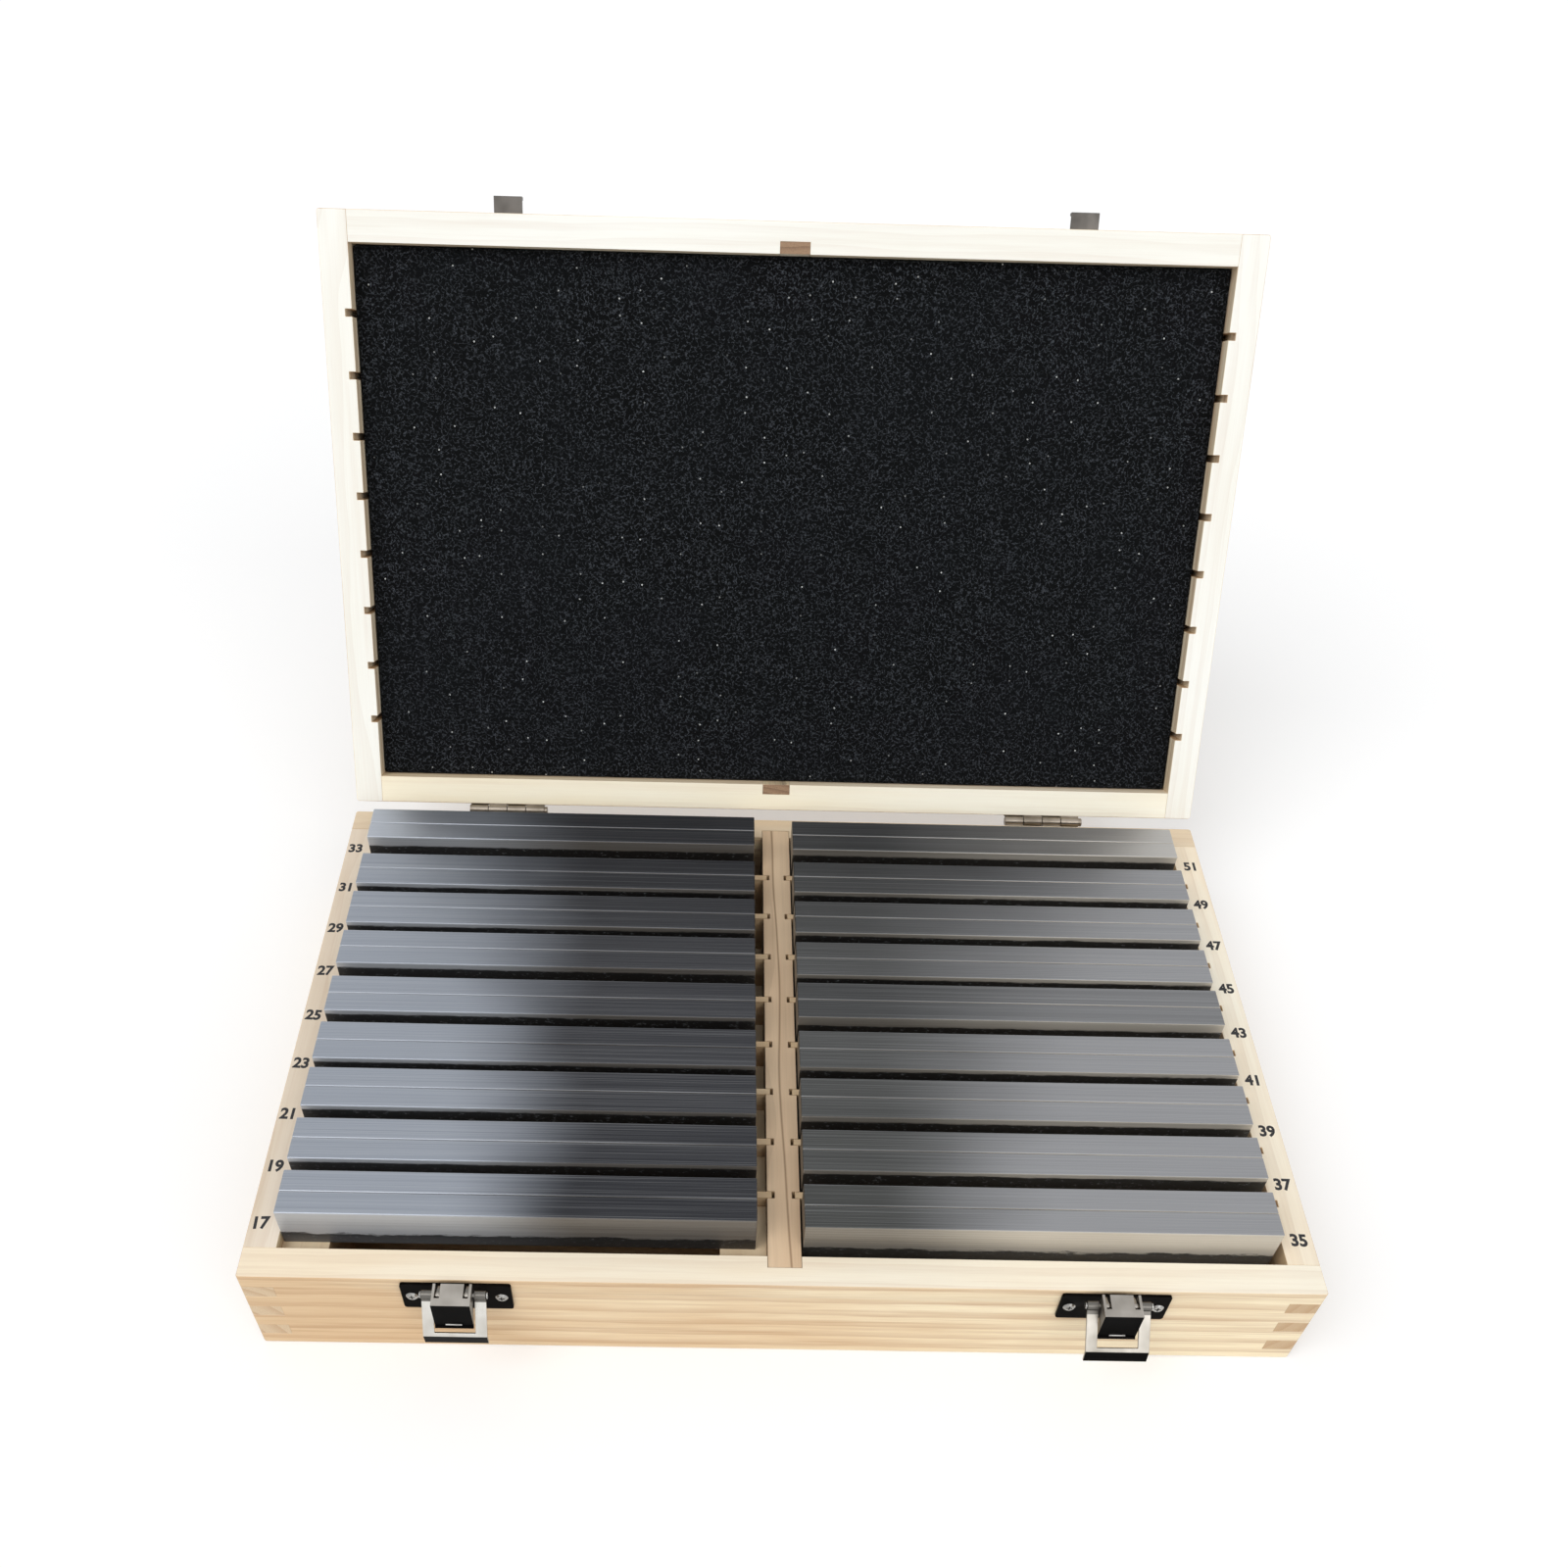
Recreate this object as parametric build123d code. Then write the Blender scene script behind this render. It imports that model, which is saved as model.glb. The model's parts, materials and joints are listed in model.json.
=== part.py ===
from build123d import *
import math
import os

# Parallel block case: a wooden case with a hinged lid that holds pairs of ground steel bars.
# Millimetres, +Z up, +X to the right and +Y to the back. The origin is the middle of the
# underside of the base. The case stands open, with the lid leaning back on its hinges.

# Steel bars
bar_length = 150.0
bar_thickness = 8.0
bar_edge = 0.4
pair_gap = 0.1
left_heights = [17, 19, 21, 23, 25, 27, 29, 31, 33]
right_heights = [35, 37, 39, 41, 43, 45, 47, 49, 51]
left_shifts = [2.4, 0.3, 0.2, -0.9, -0.7, 0.6, -0.3, -0.9, 1.6]
right_shifts = [0.5, -0.8, -0.5, -0.9, 0.4, -0.8, -0.9, -0.9, -0.3]
bar_rise = 12.0
bar_end_gap = 0.4

# Bays, and the thin slips of wood that part them
bay_play = 2.5
bar_end_play = 4.0
end_bay_room = 3.2
slip_thickness = 2.4
slip_tenon = 1.6
kerf_depth = 2.5
glue_gap = 0.05
block_length = 15.0

# Wooden shell
wall = 10.5
bottom_thickness = 3.0
rebate = 5.0
divider_thickness = 10.8
housing_depth = 4.0
base_fingers = 7
lid_fingers = 4
outer_round = 1.0
rim_round = 0.4

# Lid
foam_thickness = 7.7
foam_clearance = 0.3
foam_side_gap = 0.3
lid_panel_thickness = 4.0
rim_gap = 0.2
lid_angle = 117.7

# Hinges, each set in from the case's side
hinge_inset = 60.9
hinge_length = 30.0
leaf_height = 16.0
sheet = 1.0
barrel_radius = 2.0
barrel_gap = 0.4
knuckle_gap = 0.3
knuckles = 4
hinge_pin_radius = 1.0
pin_fit = 0.05
pin_head_radius = 1.6
pin_head_length = 1.2
leaf_edge_gap = 0.4
hinge_screw_spread = 9.0

# Wood screws
screw_head = 2.0
screw_shank = 1.1
screw_length = 8.0
screw_dome = 0.5
screw_crown_share = 0.7
screw_tip_share = 0.2
slot_width = 0.5
slot_depth = 0.8
screw_fit = 0.05
catch_screw_head = 1.6
catch_screw_shank = 0.9
catch_screw_length = 7.0

# Latches: each distance out is from the front face of the base, each height from its top,
# and each inset from the case's side
latch_insets = {"left": 67.5, "right": 66.0}
plate_width = 34.4
plate_height = 13.9
plate_drop = 1.4
plate_corner = 1.0
latch_screw_spread = 14.0
lever_axis_out = 5.0
lever_axis_drop = 0.4
lever_pin_radius = 0.8
ear_radius = 1.2
ear_gap = 0.3
lever_width = 12.0
lever_sheet = 0.8
lever_reach = 4.6
lever_back = 2.4
lever_crown = 2.6
lever_slope = 0.8
lever_tail = 10.5
lever_lip = 0.6
lever_slot_reach = 2.1
loop_axis_in = 1.4
loop_axis_down = 2.0
loop_pin_radius = 0.7
loop_pin_head = 1.1
loop_pin_head_length = 0.4
loop_pin_end_gap = 0.15
loop_eye_radius = 1.5
loop_sheet = 0.8
loop_side_gap = 0.4
loop_arm_width = 3.6
loop_length = 14.6
loop_bar_width = 1.2
loop_flange = 4.5
loop_flange_bend = 35.0
loop_angles = {"left": 30.0, "right": 44.0}
loop_hooked_lean = 5.0

# Catches on the front of the lid, each a little further out to the side than its latch
catch_shift = 0.9
catch_side_gap = 0.4
catch_top = 22.0
catch_lip = 1.4
catch_clearance = 0.3
catch_screw_out = 2.8
catch_screw_drop = 3.1

# Sizes that follow
pair_width = 2 * bar_thickness + pair_gap
bay_width = pair_width + bay_play
bay_pitch = bay_width + slip_thickness
bay_length = bar_length + bar_end_play
end_bay_width = bay_width + end_bay_room
bays = len(left_heights)
slips = bays - 1
inner_depth = (slips - 1) * bay_pitch + slip_thickness + 2 * end_bay_width
inner_width = 2 * bay_length + divider_thickness
width = inner_width + 2 * wall
depth = inner_depth + 2 * wall
base_height = max(left_heights + right_heights) - bar_rise + bottom_thickness
bar_top = base_height + bar_rise
recess = bar_rise - rim_gap + foam_clearance
lid_height = recess + foam_thickness + lid_panel_thickness
lid_rim = base_height + rim_gap
lid_top = lid_rim + lid_height
lid_panel_under = lid_top - lid_panel_thickness
slip_places = [(i - (slips - 1) / 2) * bay_pitch for i in range(slips)]
kerf_width = slip_thickness + 2 * glue_gap
front = -depth / 2
back = depth / 2
sides = {"left": -1, "right": 1}
hinge_centre = width / 2 - hinge_inset
latch_centres = {name: side * (width / 2 - latch_insets[name]) for name, side in sides.items()}
catch_centres = {name: latch_centres[name] + side * catch_shift for name, side in sides.items()}
catch_width = lever_width + 2 * (loop_side_gap - catch_shift - catch_side_gap)
hinge_y = back + barrel_gap + barrel_radius
hinge_z = base_height + rim_gap / 2

os.makedirs("parts", exist_ok=True)


def save(name, *solids):
    """Write one node, made of one solid or of several that lie apart."""
    shape = solids[0] if len(solids) == 1 else Compound(children=list(solids))
    export_step(shape, f"parts/{name}.step")


def block(x0, x1, y0, y1, z0, z1):
    """A box given by its corners."""
    size = Box(x1 - x0, y1 - y0, z1 - z0)
    return Pos((x0 + x1) / 2, (y0 + y1) / 2, (z0 + z1) / 2) * size


def opened(shape):
    """Swing a lid piece from its closed place to where the lid stands open."""
    return shape.rotate(Axis((0, hinge_y, hinge_z), (1, 0, 0)), -lid_angle)


def rod(x0, x1, y, z, radius):
    """A round bar along X."""
    return Pos((x0 + x1) / 2, y, z) * Rot(0, 90, 0) * Cylinder(radius, x1 - x0)


def prism(points, x0, x1):
    """An outline of (y, z) points, carried along X."""
    face = make_face(Polyline(*points, close=True))
    return extrude(Plane.YZ.offset(x0) * face, amount=x1 - x0)


def only_solid(shape):
    """The single solid of a cut or joined shape."""
    return shape.solids()[0]


# Screws: countersunk heads with a cross slot, seated in sheet metal over wood

def screw(head, shank, length):
    """A screw along Z, with the metal's outer face at z = 0 and its point below."""
    cone = Pos(0, 0, -sheet / 2) * Cone(shank, head, sheet)
    dome = Pos(0, 0, screw_dome / 2) * Cone(head, head * screw_crown_share, screw_dome)
    stem_length = length - sheet - shank
    stem = Pos(0, 0, -sheet - stem_length / 2) * Cylinder(shank, stem_length)
    point = Pos(0, 0, -length + shank / 2) * Cone(shank * screw_tip_share, shank, shank)
    slot_z = screw_dome - slot_depth / 2
    slots = Pos(0, 0, slot_z) * (Box(head, slot_width, slot_depth) + Box(slot_width, head, slot_depth))
    return only_solid(cone + dome + stem + point - slots)


def screw_hole(head, shank, length):
    """The room that such a screw needs, in the sheet and in the wood behind it."""
    cone = Pos(0, 0, -sheet / 2) * Cone(shank + screw_fit, head + screw_fit, sheet)
    stem = Pos(0, 0, -(length + screw_fit) / 2) * Cylinder(shank + screw_fit, length + screw_fit)
    return cone + stem


def set_in(shape, x, y, z, facing):
    """Place a screw or its hole with its head facing the front or the back."""
    return Pos(x, y, z) * Rot(90 if facing == "front" else -90, 0, 0) * shape


hinge_screw = screw(screw_head, screw_shank, screw_length)
hinge_hole = screw_hole(screw_head, screw_shank, screw_length)
catch_screw = screw(catch_screw_head, catch_screw_shank, catch_screw_length)
catch_hole = screw_hole(catch_screw_head, catch_screw_shank, catch_screw_length)
leaf_middle = (leaf_height + barrel_radius + leaf_edge_gap) / 2
base_hinge_spots = [(s * hinge_centre + t * hinge_screw_spread, back + sheet, hinge_z - leaf_middle)
                    for s in (-1, 1) for t in (-1, 1)]
lid_hinge_spots = [(x, y, hinge_z + leaf_middle) for x, y, z in base_hinge_spots]
plate_top = base_height - plate_drop
plate_middle = plate_top - plate_height / 2
latch_spots = [(centre + t * latch_screw_spread, front - sheet, plate_middle)
               for centre in latch_centres.values() for t in (-1, 1)]
catch_spots = [(centre + t * catch_screw_out, front - sheet, lid_rim + catch_top - catch_screw_drop)
               for centre in catch_centres.values() for t in (-1, 1)]


# Shell: finger-jointed walls of the base and of the lid

def envelope(z0, z1, rim):
    """The outside of the base or the lid, with its edges eased, less where they meet."""
    body = block(-width / 2, width / 2, front, back, z0, z1)
    body = fillet(body.edges().filter_by(Axis.Z), outer_round)
    far = z1 if rim == z0 else z0
    body = fillet(body.faces().filter_by_position(Axis.Z, far, far).edges(), outer_round)
    return fillet(body.faces().filter_by_position(Axis.Z, rim, rim).edges(), rim_round)


def corner_cuts(z0, height, fingers, start):
    """Every second finger's place at the four corners, from z0 up."""
    step = height / fingers
    cuts = []
    for i in range(start, fingers, 2):
        for sx in (-1, 1):
            for sy in (-1, 1):
                x0, x1 = sorted((sx * width / 2, sx * (width / 2 - wall)))
                y0, y1 = sorted((sy * depth / 2, sy * (depth / 2 - wall)))
                cuts.append(block(x0, x1, y0, y1, z0 + i * step, z0 + (i + 1) * step))
    return cuts


def kerfs(x_face, side, z0, z1):
    """Saw cuts for the slips in an upright face; side is the way from the bay into the wood."""
    x0, x1 = sorted((x_face, x_face + side * kerf_depth))
    return [block(x0, x1, y - kerf_width / 2, y + kerf_width / 2, z0, z1) for y in slip_places]


def walls(z0, z1, rim, fingers, long_start, panel, groove_low, groove_high):
    """Front, rear, left and right walls between two heights, as four solids."""
    outside = envelope(z0, z1, rim)
    height = z1 - z0
    housing = divider_thickness / 2 + glue_gap
    inner_front = front + wall
    housing_cut = [block(-housing, housing, inner_front - housing_depth - glue_gap, inner_front,
                         groove_low, groove_high),
                   block(-housing, housing, -inner_front, -inner_front + housing_depth + glue_gap,
                         groove_low, groove_high)]
    made = []
    for y0, y1 in ((front, front + wall), (back - wall, back)):
        board = block(-width / 2, width / 2, y0, y1, z0, z1)
        made.append(board - corner_cuts(z0, height, fingers, 1 - long_start) - housing_cut)
    for side in (-1, 1):
        x0, x1 = sorted((side * width / 2, side * (width / 2 - wall)))
        board = block(x0, x1, front, back, z0, z1)
        cuts = kerfs(side * inner_width / 2, side, groove_low, groove_high)
        made.append(board - corner_cuts(z0, height, fingers, long_start) - cuts)
    return [only_solid((board - panel) & outside) for board in made]


def panel_room(z0, z1, gap):
    """A panel let into the rebate of all four walls."""
    x = inner_width / 2 + rebate + gap
    y = inner_depth / 2 + rebate + gap
    return block(-x, x, -y, y, z0, z1)


bottom_cut = panel_room(0, bottom_thickness, glue_gap)
base_walls = walls(0, base_height, base_height, base_fingers, 0, bottom_cut, bottom_thickness, base_height)
base_holes = [set_in(hinge_hole, *spot, "front") for spot in latch_spots]
base_holes += [set_in(hinge_hole, *spot, "back") for spot in base_hinge_spots]
save("base_front_wall", only_solid(base_walls[0] - base_holes[:4]))
save("base_rear_wall", only_solid(base_walls[1] - base_holes[4:]))
save("base_left_wall", base_walls[2])
save("base_right_wall", base_walls[3])
save("base_bottom_panel", panel_room(0, bottom_thickness, 0))

divider = block(-divider_thickness / 2, divider_thickness / 2, -inner_depth / 2 - housing_depth,
                inner_depth / 2 + housing_depth, bottom_thickness, base_height)
divider_kerfs = kerfs(-divider_thickness / 2, 1, bottom_thickness, base_height)
divider_kerfs += kerfs(divider_thickness / 2, -1, bottom_thickness, base_height)
save("base_divider", only_solid(divider - divider_kerfs))


# Bays: slips, the blocks that carry the bars at each end, and the bars

def bay_edges(bay):
    """Front and back of a bay, counted from the front."""
    y0 = -inner_depth / 2 if bay == 0 else slip_places[bay - 1] + slip_thickness / 2
    y1 = inner_depth / 2 if bay == bays - 1 else slip_places[bay] - slip_thickness / 2
    return y0, y1


def bay_start(side):
    """Where a column's bays begin along X, at their left end."""
    return -inner_width / 2 if side < 0 else divider_thickness / 2


def blocks_at(side, heights, x0):
    """One row of support blocks, each as high as its bars need."""
    row = []
    for bay, height in enumerate(heights):
        top = bar_top - height
        if top > bottom_thickness:
            y0, y1 = bay_edges(bay)
            row.append(block(x0, x0 + block_length, y0 + glue_gap, y1 - glue_gap, bottom_thickness, top))
    return row


columns = {"left": (-1, left_heights, left_shifts), "right": (1, right_heights, right_shifts)}
for name, (side, heights, shifts) in columns.items():
    start = bay_start(side)
    slip_x = (start - slip_tenon, start + bay_length + slip_tenon)
    save(f"{name}_bay_slips", *[block(*slip_x, y - slip_thickness / 2, y + slip_thickness / 2,
                                      bottom_thickness, base_height) for y in slip_places])
    save(f"{name}_bay_left_blocks", *blocks_at(side, heights, start))
    save(f"{name}_bay_right_blocks", *blocks_at(side, heights, start + bay_length - block_length))
    for bay, (height, shift) in enumerate(zip(heights, shifts)):
        y0, y1 = bay_edges(bay)
        middle = (y0 + y1) / 2 + shift
        x0 = start + bar_end_gap
        bars = []
        for bar_y in (middle - pair_width / 2, middle + pair_gap / 2):
            bar = block(x0, x0 + bar_length, bar_y, bar_y + bar_thickness, bar_top - height, bar_top)
            bars.append(only_solid(chamfer(bar.edges().filter_by(Axis.X), bar_edge)))
        save(f"parallel_pair_{height}", *bars)

# Lid: four walls, a panel let into their top, foam glued under it, and the divider's two offcuts
lid_cut = panel_room(lid_panel_under, lid_top, glue_gap)
lid_walls = walls(lid_rim, lid_top, lid_rim, lid_fingers, 1, lid_cut, lid_rim, lid_panel_under)
lid_front_holes = [set_in(catch_hole, *spot, "front") for spot in catch_spots]
lid_rear_holes = [set_in(hinge_hole, *spot, "back") for spot in lid_hinge_spots]
save("lid_front_wall", opened(only_solid(lid_walls[0] - lid_front_holes)))
save("lid_rear_wall", opened(only_solid(lid_walls[1] - lid_rear_holes)))
save("lid_left_wall", opened(lid_walls[2]))
save("lid_right_wall", opened(lid_walls[3]))
save("lid_panel", opened(panel_room(lid_panel_under, lid_top, 0)))
foam_x = inner_width / 2 - foam_side_gap
foam_y = inner_depth / 2 - foam_side_gap
save("lid_foam", opened(block(-foam_x, foam_x, -foam_y, foam_y, lid_rim + recess, lid_panel_under)))
plug_y = inner_depth / 2
plugs = [block(-divider_thickness / 2, divider_thickness / 2, y0, y1, lid_rim, lid_panel_under)
         for y0, y1 in ((-plug_y - housing_depth, -plug_y), (plug_y, plug_y + housing_depth))]
save("lid_divider_plugs", *[opened(plug) for plug in plugs])

# Hinges: two pressed leaves each, screwed to the backs of base and lid, on one pin
knuckle_length = (hinge_length - (knuckles - 1) * knuckle_gap) / knuckles


def leaf(centre, up, own, spots):
    """A leaf on the back face; up is 1 on the lid and -1 on the base."""
    x0 = centre - hinge_length / 2
    near = hinge_z + up * (barrel_radius + leaf_edge_gap)
    far = hinge_z + up * (barrel_radius + leaf_height)
    plate = block(x0, x0 + hinge_length, back, back + sheet, min(near, far), max(near, far))
    plate = fillet(plate.edges().filter_by(Axis.Y).filter_by_position(Axis.Z, far, far), plate_corner)
    for i in own:
        k0 = x0 + i * (knuckle_length + knuckle_gap)
        k1 = k0 + knuckle_length
        plate += block(k0, k1, back, back + sheet, min(near, hinge_z), max(near, hinge_z))
        plate += rod(k0, k1, hinge_y, hinge_z, barrel_radius)
    plate -= rod(x0, x0 + hinge_length, hinge_y, hinge_z, hinge_pin_radius + pin_fit)
    plate -= [set_in(hinge_hole, *spot, "back") for spot in spots if abs(spot[0] - centre) < hinge_length]
    return only_solid(plate)


hinge_pins = []
for name, side in sides.items():
    centre = side * hinge_centre
    save(f"{name}_hinge_base_leaf", leaf(centre, -1, range(0, knuckles, 2), base_hinge_spots))
    save(f"{name}_hinge_lid_leaf", opened(leaf(centre, 1, range(1, knuckles, 2), lid_hinge_spots)))
    x0 = centre - hinge_length / 2
    x1 = centre + hinge_length / 2 + pin_fit
    pin = rod(x0, x1, hinge_y, hinge_z, hinge_pin_radius)
    pin += rod(x1, x1 + pin_head_length, hinge_y, hinge_z, pin_head_radius)
    hinge_pins.append(only_solid(pin))
save("hinge_pins", *hinge_pins)
save("hinge_base_screws", *[set_in(hinge_screw, *spot, "back") for spot in base_hinge_spots])
save("hinge_lid_screws", *[opened(set_in(hinge_screw, *spot, "back")) for spot in lid_hinge_spots])

# Latches: a plate with two ears, a folded lever on a pin between them, and a loop on the lever
lever_y = front - lever_axis_out
lever_z = base_height - lever_axis_drop
loop_y = lever_y + loop_axis_in
loop_z = lever_z - loop_axis_down
lever_half = lever_width / 2
cheek_inner = lever_half - lever_sheet
ear_outer = cheek_inner - ear_gap
arm_inner = lever_half + loop_side_gap
arm_outer = arm_inner + loop_arm_width


def latch_plate(centre):
    """The plate on the base's front, with two ears bent out of it to carry the lever's pin."""
    plate = block(centre - plate_width / 2, centre + plate_width / 2, front - sheet, front,
                  plate_top - plate_height, plate_top)
    plate = fillet(plate.edges().filter_by(Axis.Y), plate_corner)
    root_y = front - sheet / 2
    lean = math.atan2(lever_z - plate_top + ear_radius, root_y - lever_y)
    across = (ear_radius * math.sin(lean), ear_radius * math.cos(lean))
    ear = [(root_y, plate_top - 2 * ear_radius), (root_y, plate_top),
           (lever_y + across[0], lever_z + across[1]), (lever_y - across[0], lever_z - across[1])]
    for side in (-1, 1):
        x0, x1 = sorted((centre + side * ear_outer, centre + side * (ear_outer - sheet)))
        plate += prism(ear, x0, x1)
        plate += rod(x0, x1, lever_y, lever_z, ear_radius)
        plate -= rod(x0 - sheet, x1 + sheet, lever_y, lever_z, lever_pin_radius + pin_fit)
    holes = [set_in(hinge_hole, *spot, "front") for spot in latch_spots
             if abs(spot[0] - centre) < plate_width]
    return only_solid(plate - holes)


def lever(centre):
    """A folded cover: a crown slotted for the ears, a front that hangs to a lip, and two cheeks."""
    out = lever_y - lever_reach
    rear = front - lever_back
    top_rear = lever_z + lever_crown
    top_front = top_rear - lever_slope
    tail = lever_z - lever_tail
    inside_top = top_front - lever_sheet + lever_slope * lever_sheet / (rear - out)
    skin = [(rear, top_rear), (out, top_front), (out, tail), (out - lever_lip, tail - lever_lip),
            (out - lever_lip + lever_sheet, tail - lever_lip - lever_sheet / 2),
            (out + lever_sheet, tail - lever_sheet / 2), (out + lever_sheet, inside_top),
            (rear, top_rear - lever_sheet)]
    cover = prism(skin, centre - lever_half, centre + lever_half)
    near = loop_y + loop_eye_radius - lever_sheet / 2
    cheek = [(rear, top_rear), (out, top_front), (out, tail), (out + lever_sheet, tail),
             (loop_y - loop_eye_radius, loop_z - loop_eye_radius), (loop_y, loop_z - loop_eye_radius),
             (near, loop_z), (near, lever_z)]
    for side in (-1, 1):
        x0, x1 = sorted((centre + side * lever_half, centre + side * cheek_inner))
        cover += prism(cheek, x0, x1)
        slot_x = sorted((centre + side * cheek_inner, centre + side * (ear_outer - sheet - ear_gap)))
        cover -= block(*slot_x, lever_y - lever_slot_reach, front, lever_z, lever_z + 2 * lever_crown)
    cover -= rod(centre - lever_width, centre + lever_width, lever_y, lever_z, lever_pin_radius + pin_fit)
    cover -= rod(centre - lever_width, centre + lever_width, loop_y, loop_z, loop_pin_radius)
    return only_solid(cover)


def loop(centre, angle):
    """Two flat arms with eyes, joined by a bar whose edge is bent back to catch the hook."""
    half = loop_sheet / 2
    end = loop_z - loop_length
    bend = math.radians(loop_flange_bend)
    reach = (loop_y + loop_flange * math.sin(bend), end - loop_flange * math.cos(bend))
    edge = (half * math.cos(bend), half * math.sin(bend))
    turn = half * math.tan(bend / 2)
    bar = [(loop_y - half, loop_z - loop_length + loop_bar_width), (loop_y - half, end - turn),
           (reach[0] - edge[0], reach[1] - edge[1]), (reach[0] + edge[0], reach[1] + edge[1]),
           (loop_y + half, end + turn), (loop_y + half, loop_z - loop_length + loop_bar_width)]
    shape = prism(bar, centre - arm_outer, centre + arm_outer)
    for side in (-1, 1):
        x0, x1 = sorted((centre + side * arm_inner, centre + side * arm_outer))
        shape += block(x0, x1, loop_y - half, loop_y + half, end, loop_z)
        shape += rod(x0, x1, loop_y, loop_z, loop_eye_radius)
        shape -= rod(x0, x1, loop_y, loop_z, loop_pin_radius + pin_fit)
    return only_solid(shape).rotate(Axis((0, loop_y, loop_z), (1, 0, 0)), -angle)


def loop_pin(centre, side):
    """A rivet from the lever's cheek through one eye, headed outside it."""
    x0 = centre + side * cheek_inner
    x1 = centre + side * (arm_outer + loop_pin_end_gap)
    x2 = x1 + side * loop_pin_head_length
    stem = rod(min(x0, x1), max(x0, x1), loop_y, loop_z, loop_pin_radius)
    return only_solid(stem + rod(min(x1, x2), max(x1, x2), loop_y, loop_z, loop_pin_head))


lever_pins = []
for name, centre in latch_centres.items():
    save(f"{name}_latch_plate", latch_plate(centre))
    save(f"{name}_latch_lever", lever(centre))
    save(f"{name}_latch_loop", loop(centre, loop_angles[name]))
    save(f"{name}_latch_loop_rivets", loop_pin(centre, -1), loop_pin(centre, 1))
    lever_pins.append(rod(centre - lever_half, centre + lever_half, lever_y, lever_z, lever_pin_radius))
save("latch_lever_pins", *lever_pins)
save("latch_plate_screws", *[set_in(hinge_screw, *spot, "front") for spot in latch_spots])

# Catches: a plate on the lid's front whose foot turns out and up into a hook for the loop
lean = math.radians(loop_hooked_lean)
bar_low = loop_z + (loop_length - loop_bar_width) * math.cos(lean)
bar_out = loop_y - loop_length * math.sin(lean) - loop_sheet / 2
hook_floor = bar_low - catch_clearance
hook_inside = bar_out - catch_clearance
hook_outside = hook_inside - sheet
hook_tip = bar_low + catch_lip
hook_back = front - sheet
catch_outline = [(front, lid_rim + catch_top), (hook_back, lid_rim + catch_top), (hook_back, hook_floor),
                 (hook_inside, hook_floor), (hook_inside, hook_tip), (hook_outside, hook_tip),
                 (hook_outside, hook_floor - sheet), (front, hook_floor - sheet)]
for name, centre in catch_centres.items():
    catch = prism(catch_outline, centre - catch_width / 2, centre + catch_width / 2)
    catch -= [set_in(catch_hole, *spot, "front") for spot in catch_spots
              if abs(spot[0] - centre) < catch_width]
    save(f"{name}_lid_catch", opened(only_solid(catch)))
save("lid_catch_screws", *[opened(set_in(catch_screw, *spot, "front")) for spot in catch_spots])
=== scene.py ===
import json
import math

import bmesh
import bpy
from mathutils import Matrix, Vector, noise


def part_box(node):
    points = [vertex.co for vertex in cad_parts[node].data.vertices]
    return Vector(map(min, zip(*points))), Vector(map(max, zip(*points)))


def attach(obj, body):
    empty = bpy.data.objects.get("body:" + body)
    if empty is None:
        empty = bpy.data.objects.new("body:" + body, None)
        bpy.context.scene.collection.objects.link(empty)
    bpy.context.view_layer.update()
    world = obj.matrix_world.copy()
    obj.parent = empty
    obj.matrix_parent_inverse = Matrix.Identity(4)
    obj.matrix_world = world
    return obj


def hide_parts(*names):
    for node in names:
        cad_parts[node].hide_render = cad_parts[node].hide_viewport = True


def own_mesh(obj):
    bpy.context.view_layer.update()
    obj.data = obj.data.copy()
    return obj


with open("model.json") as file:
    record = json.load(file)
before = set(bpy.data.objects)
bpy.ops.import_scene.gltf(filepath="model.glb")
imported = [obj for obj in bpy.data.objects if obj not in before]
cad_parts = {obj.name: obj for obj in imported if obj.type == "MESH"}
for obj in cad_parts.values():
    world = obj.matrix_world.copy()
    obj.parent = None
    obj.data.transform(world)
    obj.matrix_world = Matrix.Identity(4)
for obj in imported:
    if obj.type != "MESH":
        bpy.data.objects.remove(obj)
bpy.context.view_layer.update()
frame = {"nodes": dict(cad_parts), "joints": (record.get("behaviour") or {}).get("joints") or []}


# Base walls. Four planed boards of pale pine, finger-jointed and glued at the corners,
# with the outer edges eased by sanding and a thin clear sealer over all. Their tops are bare,
# because the box was glued up shut and then sawn open, and drawn paler than the faces: partly
# the bare wood's own colour, partly painted light from above.
mm = 0.001
across, deep, upright = (1, 0, 0), (0, 1, 0), (0, 0, 1)


def linear(code):
    """A colour written as #rrggbb, as the shader wants it."""
    parts = [int(code[i:i + 2], 16) / 255 for i in (1, 3, 5)]
    return (*[c / 12.92 if c < 0.04045 else ((c + 0.055) / 1.055) ** 2.4 for c in parts], 1.0)


def add_node(tree, kind, inputs=None, **settings):
    """A shader node with its settings, and its inputs as values or as sockets to link."""
    node = tree.nodes.new("ShaderNode" + kind)
    for key, value in settings.items():
        setattr(node, key, value)
    for key, value in (inputs or {}).items():
        if isinstance(value, bpy.types.NodeSocket):
            tree.links.new(value, node.inputs[key])
        else:
            node.inputs[key].default_value = value
    return node


def reckon(tree, operation, *values):
    """One step of arithmetic."""
    return add_node(tree, "Math", dict(enumerate(values)), operation=operation).outputs[0]


def spread(tree, value, low, high, new_low=0.0, new_high=1.0):
    """A value's range stretched onto another, and held to it."""
    ends = dict(enumerate((value, low, high, new_low, new_high)))
    return add_node(tree, "MapRange", ends).outputs[0]


def blended(tree, share, first, second):
    """Two colours mixed by a share. A colour is a code or a socket."""
    first, second = [linear(c) if isinstance(c, str) else c for c in (first, second)]
    return add_node(tree, "Mix", {0: share, 6: first, 7: second}, data_type="RGBA").outputs[2]


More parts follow.
